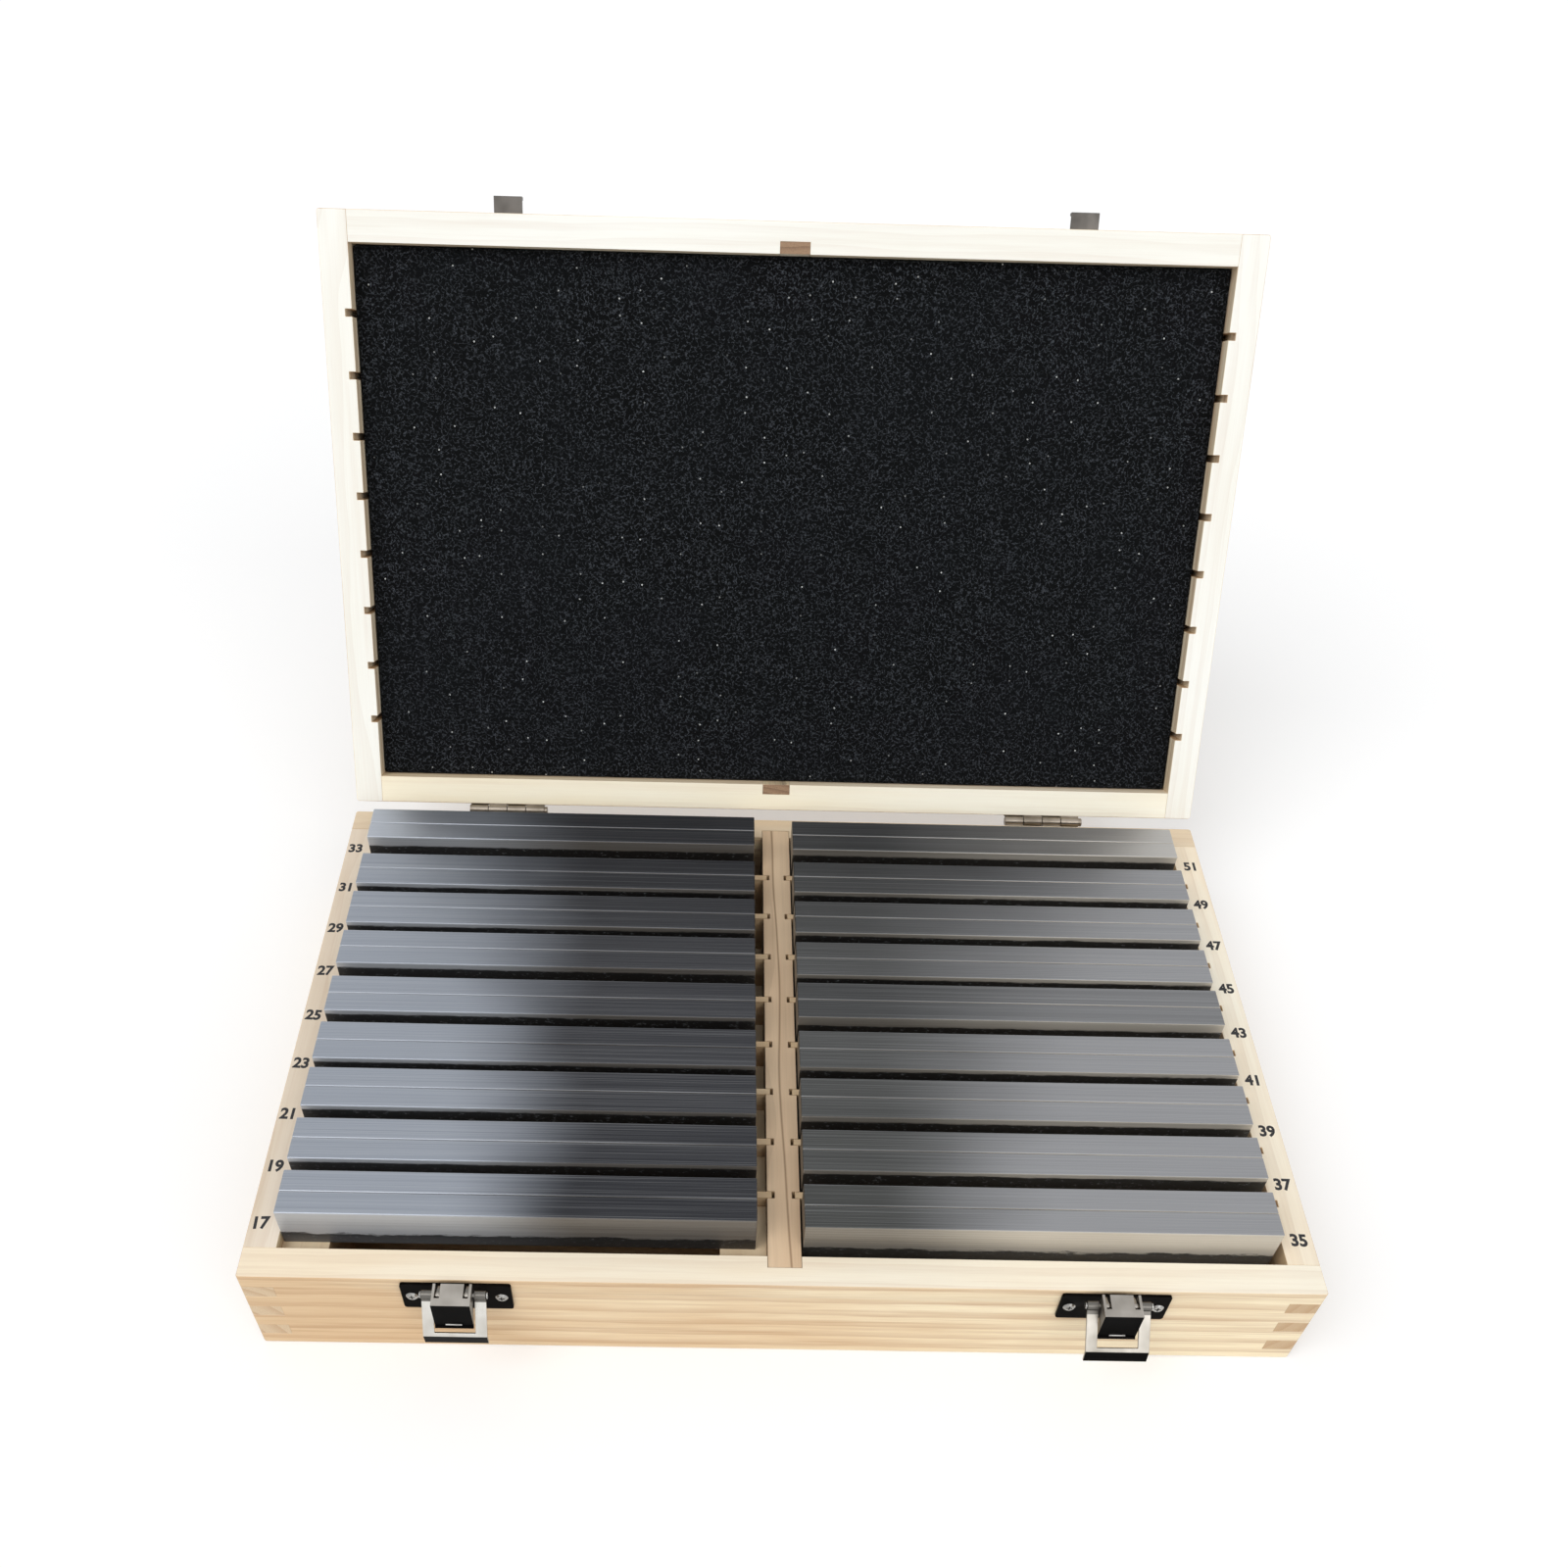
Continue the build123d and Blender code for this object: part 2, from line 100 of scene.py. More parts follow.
def place_of(tree):
    """Where a point lies on the piece, in metres."""
    return add_node(tree, "TexCoord").outputs["Object"]


def towards(tree, way):
    """How far a surface faces one way, from -1 to 1, in the piece's own directions."""
    normal = add_node(tree, "TexCoord").outputs["Normal"]
    facing = add_node(tree, "VectorMath", {0: normal, 1: way}, operation="DOT_PRODUCT")
    return facing.outputs["Value"]


def along(tree, run, side, face, shift=(0, 0, 0)):
    """The point's place in millimetres, turned so that X follows the piece's own length."""
    place = place_of(tree)
    dots = []
    for axis, by in zip((run, side, face), shift):
        dot = add_node(tree, "VectorMath", {0: place, 1: axis}, operation="DOT_PRODUCT")
        dots.append(reckon(tree, "MULTIPLY_ADD", dot.outputs["Value"], 1 / mm, by))
    return add_node(tree, "CombineXYZ", dict(enumerate(dots))).outputs[0]


def stretched(tree, place, scale, detail, roughness=0.5):
    """Noise drawn out by a different amount each way, in turns for each unit of place."""
    mapped = add_node(tree, "Mapping", {"Vector": place, "Scale": scale}).outputs[0]
    values = {"Vector": mapped, "Scale": 1.0, "Detail": detail, "Roughness": roughness}
    return add_node(tree, "TexNoise", values).outputs[0]


def new_finish(name):
    """An empty material with its main shader and its surface joined up."""
    made = bpy.data.materials.new(name)
    made.use_nodes = True
    tree = made.node_tree
    tree.nodes.clear()
    shader = add_node(tree, "BsdfPrincipled")
    add_node(tree, "OutputMaterial", {0: shader.outputs[0]})
    return made, tree, shader


def finish_with(tree, shader, colour, roughness, height, bump, depth):
    """Join a colour, a roughness and the surface's relief to the main shader."""
    relief = add_node(tree, "Bump", {"Strength": bump, "Distance": depth, "Height": height})
    tree.links.new(colour, shader.inputs["Base Color"])
    tree.links.new(roughness, shader.inputs["Roughness"])
    tree.links.new(relief.outputs[0], shader.inputs["Normal"])


def pine(name, run, side, face, shift, pale="#f5e1bb", tan="#dfbd92", late="#b98d63",
         end="#cdb08a", ring=5.5, sheen=0.5, sawn=upright, rim=("#fff6e2", "#fbeace"),
         rim_grain=0.3, drift=0.0):
    """Pine: growth rings about a far-off heart, ring millimetres apart, fine fibres along the
    board, and darker end grain. Faces that look the way of sawn are the bare ones, in the two
    colours of rim: the bare wood's own colour, with painted light on most pieces and painted
    shade on the base's panel. The board grows paler along its length by drift, for each metre."""
    made, tree, shader = new_finish(name)
    place = along(tree, run, side, face, shift)
    # The rings sway slowly along the board
    sway = stretched(tree, place, (0.006, 0.02, 0.02), 2.0)
    swayed = add_node(tree, "VectorMath", {0: sway, 1: (0, 16, 16)}, operation="MULTIPLY").outputs[0]
    heart = add_node(tree, "VectorMath", {0: place, 1: swayed}, operation="ADD").outputs[0]
    # At a scale of 1, the wave texture's rings are 0.314 apart
    rings = add_node(tree, "TexWave", {"Vector": heart, "Scale": 0.314 / ring, "Distortion": 1.2,
                                       "Detail": 2.0, "Detail Scale": 0.4},
                     wave_type="RINGS", rings_direction="X", wave_profile="SAW").outputs["Fac"]
    latewood = spread(tree, rings, 0.45, 1.0)
    blotch = spread(tree, stretched(tree, place, (0.008, 0.05, 0.05), 3.0), 0.35, 0.7)
    ahead = add_node(tree, "VectorMath", {0: place_of(tree), 1: run}, operation="DOT_PRODUCT")
    blotch = reckon(tree, "MULTIPLY_ADD", ahead.outputs["Value"], -drift, blotch)
    blotch = spread(tree, blotch, 0.0, 1.0)
    streak = stretched(tree, place, (0.012, 0.5, 0.5), 3.0)
    fibre = stretched(tree, place, (0.05, 2.2, 2.2), 4.0, roughness=0.65)
    # The bare faces take the rim colours, which carry painted light on most pieces and painted shade
    # on the base's panel
    bare = spread(tree, towards(tree, sawn), 0.8, 0.95)
    contrast = spread(tree, bare, 0.0, 1.0, 1.0, rim_grain)
    body = blended(tree, bare, blended(tree, blotch, pale, tan), blended(tree, blotch, *rim))
    for marks, strength in ((latewood, 0.42), (spread(tree, streak, 0.52, 0.72), 0.4),
                            (spread(tree, fibre, 0.42, 0.75), 0.28)):
        share = reckon(tree, "MULTIPLY", reckon(tree, "MULTIPLY", marks, strength), contrast)
        body = blended(tree, share, body, late)
    # End grain drinks the sealer and goes darker, with the rings plain to see
    endwise = spread(tree, reckon(tree, "ABSOLUTE", towards(tree, run)), 0.6, 0.8)
    pores = spread(tree, stretched(tree, place, (0.3, 3.0, 3.0), 3.0), 0.45, 0.7, 0.0, 0.4)
    cut = blended(tree, reckon(tree, "MULTIPLY", latewood, 0.5), end, late)
    cut = blended(tree, pores, cut, late)
    height = reckon(tree, "MULTIPLY_ADD", latewood, 0.3, reckon(tree, "MULTIPLY", fibre, 0.7))
    rough = spread(tree, fibre, 0.3, 0.7, sheen - 0.06, sheen + 0.12)
    colour = blended(tree, endwise, body, cut)
    finish_with(tree, shader, colour, rough, height, bump=0.25, depth=0.12 * mm)
    return made


def show(mesh, body, slot, *nodes, smooth=True):
    """An object of a mesh, that rides on a body and stands for CAD nodes."""
    if smooth:
        mesh.polygons.foreach_set("use_smooth", [True] * len(mesh.polygons))
    piece = bpy.data.objects.new(mesh.name, mesh)
    bpy.context.scene.collection.objects.link(piece)
    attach(piece, body)
    if nodes:
        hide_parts(*nodes)
    return piece


def softened(node, body, slot, material, width, segments=2):
    """A copy of a CAD node with its hard edges eased, shown in the node's place."""
    mesh = frame["nodes"][node].data.copy()
    mesh.name = node + "_eased"
    work = bmesh.new()
    work.from_mesh(mesh)
    bmesh.ops.remove_doubles(work, verts=work.verts, dist=0.002 * mm)
    bmesh.ops.dissolve_limit(work, angle_limit=math.radians(0.5), verts=work.verts, edges=work.edges)
    work.to_mesh(mesh)
    work.free()
    mesh.materials.clear()
    mesh.materials.append(material)
    mesh.set_sharp_from_angle(angle=math.radians(25))
    piece = show(mesh, body, slot, node)
    bevel = piece.modifiers.new("eased edges", "BEVEL")
    bevel.width = width
    bevel.segments = segments
    bevel.limit_method = "ANGLE"
    bevel.angle_limit = math.radians(30)
    bevel.harden_normals = True
    return piece


sanded_edge = 0.25 * mm
for node, run, side, shift, tones in (
        ("base_front_wall", across, deep, (40, 150, -90),
         {"drift": 5.0, "pale": "#ffeecb", "tan": "#e4c49a"}),
        ("base_rear_wall", across, deep, (310, -60, 55),
         {"rim": ("#ead8bd", "#d8be9a")}),
        ("base_left_wall", deep, across, (90, 205, 30),
         {"end": "#dcc3a0", "rim": ("#f1e3d0", "#dfcbb1")}),
        ("base_right_wall", deep, across, (500, -120, -60),
         {"rim": ("#fff8e6", "#fbe7c9")})):
    board = pine("sealed pine, " + node, run, side, upright, shift, **tones)
    softened(node, "base", "pine", board, sanded_edge)

# Base bottom. A thin pale plywood panel, let into a rebate under the four walls and pinned.
# Its upper face is painted dark brown, a painted shade down in the bays.
panel_edge = 0.2 * mm
plywood = pine("pale plywood, painted shade inside", across, deep, upright, (20, 0, 400), ring=14,
               rim=("#54463a", "#43372c"))
softened("base_bottom_panel", "base", "panel_wood", plywood, panel_edge)

# Divider. One pine board on edge, housed in the front and rear walls, with a saw cut in each
# side for every slip. Its sides are darker than its top. A thin dark line, the heart of the
# tree, wanders along the middle of its top.

def mark_heart(material, lean, wander, thick):
    """The dark line of the heart, a little askew to the board, over the board's own colour."""
    tree = material.node_tree
    shader = next(node for node in tree.nodes if node.type == "BSDF_PRINCIPLED")
    board = shader.inputs["Base Color"].links[0].from_socket
    place = place_of(tree)
    x, y = add_node(tree, "SeparateXYZ", {0: place}).outputs[:2]
    sway = reckon(tree, "SUBTRACT", stretched(tree, place, (0, 12, 0), 1.0), 0.5)
    middle = reckon(tree, "MULTIPLY_ADD", y, lean, reckon(tree, "MULTIPLY", sway, wander))
    aside = reckon(tree, "ABSOLUTE", reckon(tree, "ADD", x, middle))
    line = spread(tree, aside, 0.0, thick, 0.75, 0.0)
    tree.links.new(blended(tree, line, board, "#7d5a3c"), shader.inputs["Base Color"])


divider_pine = pine("pine divider, darker sides", deep, across, upright, (700, 3, -30),
                    pale="#a38d73", tan="#88725b", late="#7d6146", ring=4.2,
                    rim=("#e6caa8", "#d8b48f"))
mark_heart(divider_pine, lean=0.017, wander=5.0 * mm, thick=0.55 * mm)
softened("base_divider", "base", "pine", divider_pine, sanded_edge)

# Slips and support blocks. Thin sawn strips, glued into the saw cuts, and sawn blocks, glued
# under both ends of each bay, each as high as its bars need.
slip_edge = 0.15 * mm
block_edge = 0.2 * mm
slip_pine = pine("sawn pine slips", across, upright, deep, (15, 60, 25), ring=3.5, sheen=0.65,
                 pale="#dcc29b", tan="#c4a076", rim=("#ddc4a0", "#c9a981"))
# The blocks' tops are painted pale, a painted light on ledges that lie in shade
block_pine = pine("sawn pine blocks", deep, upright, across, (5, 35, 60), ring=4.5, sheen=0.7,
                  pale="#cdb088", tan="#b48c60", rim=("#f2dfbf", "#e0c49b"))
for side in ("left", "right"):
    softened(f"{side}_bay_slips", "base", "inner_wood", slip_pine, slip_edge)
    for end in ("left", "right"):
        softened(f"{side}_bay_{end}_blocks", "base", "inner_wood", block_pine, block_edge)

# Size numbers. The height of each pair in millimetres, stamped by hand in black ink on the
# tops of the side walls, one beside each bay.
letter_size = 6.1 * mm
stroke_growth = 0.23 * mm
ink_thick = 0.012 * mm
ink_height = 0.014 * mm
letter_width = 0.92
number_step = 21.55 * mm
row_start = -1.5 * mm
stray_reach = 0.4 * mm
stray_turn = math.radians(6)


def stamp_ink():
    """Black stamping ink, soaked unevenly into the wood."""
    made, tree, shader = new_finish("black stamping ink")
    soak = stretched(tree, along(tree, across, deep, upright), (2.5, 2.5, 2.5), 3.0)
    colour = blended(tree, spread(tree, soak, 0.5, 0.85), "#14151b", "#4a4340")
    rough = reckon(tree, "ADD", soak, 0.1)
    finish_with(tree, shader, colour, rough, soak, bump=0.1, depth=0.01 * mm)
    return made


def stamped(number, x, y, z, tilt):
    """One number as a flat mesh in its place on the wood."""
    curve = bpy.data.curves.new("number", "FONT")
    curve.body = str(number)
    curve.size = letter_size
    curve.offset = stroke_growth
    curve.extrude = ink_thick
    curve.align_x = "CENTER"
    curve.align_y = "CENTER"
    curve.resolution_u = 3
    text = bpy.data.objects.new("number", curve)
    bpy.context.scene.collection.objects.link(text)
    bpy.context.view_layer.update()
    flat = bpy.data.meshes.new_from_object(text)
    bpy.data.objects.remove(text)
    flat.transform(Matrix.Translation((x, y, z)) @ Matrix.Rotation(tilt, 4, "Z")
                   @ Matrix.Diagonal((letter_width, 1, 1, 1)))
    return flat


def made_mesh(name, work, material):
    """A worked shape turned into a mesh of one material."""
    mesh = bpy.data.meshes.new(name)
    work.to_mesh(mesh)
    work.free()
    mesh.materials.append(material)
    return mesh


wall_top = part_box("base_left_wall")[1].z
ink = stamp_ink()
for name, x, first_size in (("left", -166.2 * mm, 17), ("right", 165.4 * mm, 35)):
    marks = bmesh.new()
    for k in range(9):
        stray = [noise.noise(Vector((k * 3.1, x * 900, layer))) for layer in (0.5, 7.5, 14.5)]
        y = (k - 4) * number_step + row_start
        flat = stamped(first_size + 2 * k, x + stray_reach * stray[0], y + stray_reach * stray[1],
                       wall_top + ink_height, stray_turn * stray[2])
        marks.from_mesh(flat)
        bpy.data.meshes.remove(flat)
    show(made_mesh(name + "_size_numbers", marks, ink), "base", "pine", smooth=False)

# Bars. Pairs of hardened steel bars, ground on all faces, with the edges broken on a stone.
# They stand loose in the bays, side by side. Their tops carry a painted reflection, darker by
# the divider and lighter at the outer ends, and a painted highlight along the rear edges. The
# sides carry a painted light, and a dark film from a ragged line under the top edge downwards:
# partly old oil, partly painted shade between the pairs.
bar_edge = 0.32 * mm
bar_gap = 0.1 * mm
# The painted highlight along the bars' rear edges: full strength at first, then fading out
edge_highlight_width = (0.15 * mm, 0.6 * mm)
sheen_drift = 30 * mm
# The dark film on the bar sides, partly old oil and partly painted shade between the pairs
oil_and_shade_thins = (11 * mm, 24 * mm)
plain_oil_and_shade_line = 1.9 * mm
oil_and_shade_lines = {17: 11.5 * mm, 27: 2.6 * mm, 33: 4.5 * mm, 35: 12 * mm, 39: 2.8 * mm, 43: 4.5 * mm,
             51: 3.2 * mm}
# Pairs whose painted reflection has two tones of its own
painted_light_tones = {33: ("#5c5d61", "#b4bac4"), 43: ("#4f5051", "#7f8082"), 51: ("#757677", "#bbb9b6")}


def ground_steel(name, shift, near, far, flank, fade, top_height, rear_edges, oil_and_shade_depth, ragged):
    """Ground steel: fine lines along the bar, and a painted reflection that fades from the colour
    of far, at the outer end, to that of near, by the divider. The sides have two colours of
    their own, a painted light that follows the same fade, and the rear edges carry a painted
    highlight. On the sides a dark film starts at a given depth, along a ragged line, and thins
    out further down: partly old oil, partly painted shade between the pairs."""
    made, tree, shader = new_finish(name)
    place = along(tree, across, deep, upright, shift)
    lines = stretched(tree, place, (0.004, 3.0, 3.0), 5.0, roughness=0.75)
    cloud = stretched(tree, place, (0.015, 0.04, 0.04), 2.0)
    x, y, z = add_node(tree, "SeparateXYZ", {0: place_of(tree)}).outputs
    # Painted reflection: the top is darker by the divider and lighter towards the outer end
    outward = reckon(tree, "MULTIPLY_ADD", cloud, sheen_drift, reckon(tree, "ABSOLUTE", x))
    outward = reckon(tree, "SUBTRACT", outward, sheen_drift / 2)
    share = add_node(tree, "MapRange", {0: outward, 1: fade[0], 2: fade[1]},
                     interpolation_type="SMOOTHSTEP").outputs[0]
    steel = blended(tree, share, near, far)
    # Painted highlight along the rear edges of the two bars
    for edge in rear_edges:
        strip = reckon(tree, "ABSOLUTE", reckon(tree, "SUBTRACT", y, edge))
        strip = reckon(tree, "SUBTRACT", 1.0, spread(tree, strip, *edge_highlight_width))
        edge_highlight = reckon(tree, "MULTIPLY", strip, spread(tree, cloud, 0.35, 0.65, 0.1, 0.4))
        steel = blended(tree, edge_highlight, steel, "#c9ccd0")
    # The sides take two colours of their own, a painted light that follows the tops' fade
    aside = spread(tree, reckon(tree, "ABSOLUTE", towards(tree, deep)), 0.5, 0.9)
    steel = blended(tree, aside, steel, blended(tree, share, *flank))
    steel = blended(tree, spread(tree, lines, 0.5, 0.75, 0.0, 0.3), steel, "#c6c8ca")
    steel = blended(tree, spread(tree, lines, 0.3, 0.5, 0.25, 0.0), steel, "#2e3033")
    # Dark film on the sides: partly old oil, partly painted shade between the pairs
    depth = reckon(tree, "SUBTRACT", top_height, z)
    wander = stretched(tree, place, (0.06, 0.0, 0.35), 8.0, roughness=0.75)
    wander = reckon(tree, "MULTIPLY_ADD", reckon(tree, "SUBTRACT", wander, 0.5), ragged, depth)
    oil = reckon(tree, "MULTIPLY", spread(tree, wander, oil_and_shade_depth - 0.3 * mm, oil_and_shade_depth + 0.4 * mm), aside)
    oil = reckon(tree, "MULTIPLY", oil, spread(tree, depth, *oil_and_shade_thins, 0.95, 0.4))
    grit = stretched(tree, place, (0.5, 0.8, 0.9), 4.0, roughness=0.75)
    oil_and_shade_film = blended(tree, spread(tree, grit, 0.58, 0.7, 0.0, 0.7), "#0c0c0e", "#8d9094")
    steel = blended(tree, oil, steel, oil_and_shade_film)
    tree.links.new(spread(tree, aside, 0.0, 1.0, 1.0, 0.4), shader.inputs["Metallic"])
    rough = reckon(tree, "MULTIPLY_ADD", cloud, 0.14, reckon(tree, "MULTIPLY_ADD", oil, 0.15, 0.3))
    finish_with(tree, shader, steel, rough, lines, bump=0.35, depth=0.02 * mm)
    return made


def between(first, second, share):
    """A colour part of the way from one code to another."""
    return tuple(Vector(linear(first)).lerp(Vector(linear(second)), share))


def block(work, low, high):
    """A plain block between two corners."""
    made = bmesh.ops.create_cube(work, size=1.0)["verts"]
    bmesh.ops.scale(work, vec=high - low, verts=made)
    bmesh.ops.translate(work, vec=(low + high) / 2, verts=made)


def round_edges(work, width, segments):
    """Every edge of a block rounded by the same width."""
    bmesh.ops.bevel(work, geom=work.edges[:], offset=width, offset_type="OFFSET",
                    segments=segments, profile=0.5, affect="EDGES", material=-1)


for k, size in enumerate(range(17, 52, 2)):
    low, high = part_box(f"parallel_pair_{size}")
    thick = (high.y - low.y - bar_gap) / 2
    bars = bmesh.new()
    for y in (low.y, high.y - thick):
        block(bars, Vector((low.x, y, low.z)), Vector((high.x, y + thick, high.z)))
    round_edges(bars, bar_edge, 2)
    row = k % 9
    # Painted reflection on the tops, darker by the divider; the sides' own two tones are a painted
    # light
    near, far = between("#37383c", "#525357", row / 8), "#999fa9"
    flank = ("#6e6963", "#b9bdc3")
    fade = (62 * mm + 1.0 * mm * row, 110 * mm + 2 * mm * row)
    if size >= 35:
        near, far = between("#4b4c4b", "#666768", row / 8), "#96979a"
        flank = ("#857f76", "#cdc6ba")
        fade = (28 * mm, 88 * mm + 5 * mm * row)
    near, far = painted_light_tones.get(size, (near, far))
    oil_and_shade_depth = oil_and_shade_lines.get(size, plain_oil_and_shade_line)
    # The front pairs show their whole sides, and the line of oil and painted shade wanders most
    # there
    ragged = 9 * mm if row == 0 else 2.5 * mm
    steel = ground_steel(f"ground steel, pair {size}", (k * 211, k * 37, k * 53), near, far, flank,
                         fade, high.z, (high.y, low.y + thick), oil_and_shade_depth, ragged)
    show(made_mesh(f"ground_pair_{size}", bars, steel), f"pair_{size}", "ground_steel",
         f"parallel_pair_{size}", smooth=False)

# Lid. Four finger-jointed pine walls, sawn from the same box as the base, with a plywood
# panel let into their top. It leans back on its hinges.
lid_joint = next(joint for joint in frame["joints"] if joint["name"] == "lid_hinge")
lid_lean = math.radians(lid_joint["range_deg"][0])
lid_turn = Matrix.Rotation(lid_lean, 3, "X")
lid_deep = tuple(lid_turn @ Vector(deep))
lid_upright = tuple(lid_turn @ Vector(upright))
lid_rim_side = tuple(-Vector(lid_upright))
# The lid's walls are painted paler than the base's, a painted light on their shaded inner faces.
# Their rims are near white, a painted light, and the rear rim is warmer and paler, a painted light
# where less light falls.
for node, run, side, shift, rim in (
        ("lid_front_wall", across, lid_deep, (260, 30, -90), ("#faf9f2", "#f5f2e7")),
        ("lid_rear_wall", across, lid_deep, (610, -20, 70), ("#fffbea", "#fdf2d6")),
        ("lid_left_wall", lid_deep, across, (90, 205, 30), ("#faf9f2", "#f5f2e7")),
        ("lid_right_wall", lid_deep, across, (500, -120, -60), ("#faf9f2", "#f5f2e7"))):
    lid_pine = pine("sealed pine, " + node, run, side, lid_upright, shift, pale="#fdf0d6",
                    tan="#efdab6", sawn=lid_rim_side, rim=rim, rim_grain=0.2)
    softened(node, "lid", "pine", lid_pine, sanded_edge)
lid_plywood = pine("pale plywood lid", across, lid_deep, lid_upright, (55, 0, 380), ring=14,
                   sawn=lid_rim_side)
softened("lid_panel", "lid", "panel_wood", lid_plywood, panel_edge)

# Divider ends. Sawing the box open left the two ends of the divider in the lid's walls. Their
# bare end grain is reddish brown.
plug_wood = pine("divider end grain", lid_upright, across, lid_deep, (8, 4, 30), late="#5d3f29",
                 end="#9b7c5f", ring=2.4, sawn=lid_deep)
softened("lid_divider_plugs", "lid", "pine", plug_wood, 0.15 * mm)

# Foam. A sheet of black open-cell foam, glued under the lid's panel and cut with a knife to
# fit between the walls. It swells towards the bars and is pressed flat when the lid is shut.
foam_swell = 7.0 * mm
foam_edge = 1.1 * mm
foam_grid = 70
broad_dent = 0.3 * mm
broad_dent_across = 14 * mm
small_dent = 0.12 * mm
small_dent_across = 4 * mm


def foam_skin():
    """Black foam: torn cells in worm-like ridges, a cold dull sheen and a few specks. The cells
    are drawn coarser than real ones, so that they show."""
    made, tree, shader = new_finish("black open-cell foam")
    place = along(tree, across, lid_deep, lid_upright)
    cells = stretched(tree, place, (0.6, 0.6, 0.6), 2.0)
    ridge = reckon(tree, "ABSOLUTE", reckon(tree, "SUBTRACT", cells, 0.5))
    ridge = spread(tree, ridge, 0.0, 0.06, 1.0, 0.0)
    fine = stretched(tree, place, (1.3, 1.3, 1.3), 4.0, roughness=0.7)
    broad = stretched(tree, place, (0.03, 0.03, 0.03), 3.0)
    lit = reckon(tree, "MULTIPLY", ridge, spread(tree, fine, 0.4, 0.62))
    colour = blended(tree, lit, "#050607", "#4e5258")
    colour = blended(tree, spread(tree, broad, 0.35, 0.7, 0.0, 0.3), colour, "#101316")
    nearest = add_node(tree, "TexVoronoi", {"Vector": place, "Scale": 0.13},
                       voronoi_dimensions="2D").outputs
    pick, shine = add_node(tree, "SeparateXYZ", {0: nearest["Color"]}).outputs[:2]
    caught = reckon(tree, "LESS_THAN", nearest["Distance"], 0.04)
    caught = reckon(tree, "MULTIPLY", caught, reckon(tree, "GREATER_THAN", pick, 0.72))
    colour = blended(tree, reckon(tree, "MULTIPLY", caught, shine), colour, "#c9cbc9")
    height = reckon(tree, "MULTIPLY_ADD", ridge, 0.6, fine)
    rough = spread(tree, fine, 0.0, 1.0, 0.8, 0.95)
    finish_with(tree, shader, colour, rough, height, bump=0.7, depth=0.4 * mm)
    shader.inputs["Specular IOR Level"].default_value = 0.1
    return made


hinge_place = Vector(lid_joint["pos_m"])
to_open = (Matrix.Translation(hinge_place) @ Matrix.Rotation(lid_lean, 4, "X")
           @ Matrix.Translation(-hinge_place))
closed_points = [to_open.inverted() @ v.co for v in frame["nodes"]["lid_foam"].data.vertices]
foam_low = Vector([min(p[i] for p in closed_points) for i in range(3)])
foam_high = Vector([max(p[i] for p in closed_points) for i in range(3)])
foam_low.z -= foam_swell
sheet = bmesh.new()
block(sheet, foam_low, foam_high)
round_edges(sheet, foam_edge, 2)
bmesh.ops.subdivide_edges(sheet, edges=[e for e in sheet.edges if e.calc_length() > 50 * mm],
                          cuts=foam_grid, use_grid_fill=True)
for vertex in sheet.verts:
    p = vertex.co
    if p.z < foam_low.z + 0.4 * mm:
        broad = noise.noise(Vector((p.x, p.y, 0)) / broad_dent_across)
        p.z += broad_dent * (1 + broad)
        small = noise.noise(Vector((p.x, p.y, 3)) / small_dent_across)
        p.z += small_dent * (1 + small)
bmesh.ops.transform(sheet, matrix=to_open, verts=sheet.verts)
foam = show(made_mesh("foam_sheet", sheet, foam_skin()), "lid", "foam", "lid_foam")
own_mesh(foam)

# Hinges. Two pressed steel hinges, nickel plated, each with two leaves that curl round one
# headed pin. Countersunk screws hold the leaves to the backs of the base and the lid.
leaf_edge = 0.15 * mm
screw_edge = 0.06 * mm


def plated(name, light, dark, rough, dark_reflection=None, patches=(), rim_tint=1.0):
    """Thin plating on pressed steel, slightly wavy. Faces that look forwards and not up take a
    painted dark reflection, in the colour given for it, where one is given. A patch is all that
    lies past a limit along one axis. A low rim_tint keeps dark colours dark when they are seen at
    a slant."""
    made, tree, shader = new_finish(name)
    place = along(tree, across, deep, upright)
    cloud = stretched(tree, place, (0.12, 0.12, 0.12), 2.0)
    lines = stretched(tree, place, (4.0, 0.2, 0.2), 3.0)
    colour = blended(tree, spread(tree, cloud, 0.35, 0.7), light, dark)
    colour = blended(tree, spread(tree, lines, 0.5, 0.8, 0.0, 0.25), colour, dark)
    # Painted dark reflection on faces that look forwards and not up
    if dark_reflection:
        forward = spread(tree, towards(tree, (0, -1, 0)), 0.6, 0.85)
        level = spread(tree, towards(tree, upright), 0.2, 0.42, 1.0, 0.0)
        colour = blended(tree, reckon(tree, "MULTIPLY", forward, level), colour, dark_reflection)
    for axis, way, limit, tone in patches:
        reach = add_node(tree, "SeparateXYZ", {0: place_of(tree)}).outputs[axis]
        colour = blended(tree, reckon(tree, way, reach, limit), colour, tone)
    shader.inputs["Metallic"].default_value = 1.0
    shader.inputs["Specular Tint"].default_value = (rim_tint, rim_tint, rim_tint, 1.0)
    height = reckon(tree, "MULTIPLY_ADD", cloud, 2.0, lines)
    sheen = spread(tree, cloud, 0.3, 0.7, rough, rough + 0.1)
    finish_with(tree, shader, colour, sheen, height, bump=0.2, depth=0.03 * mm)
    return made


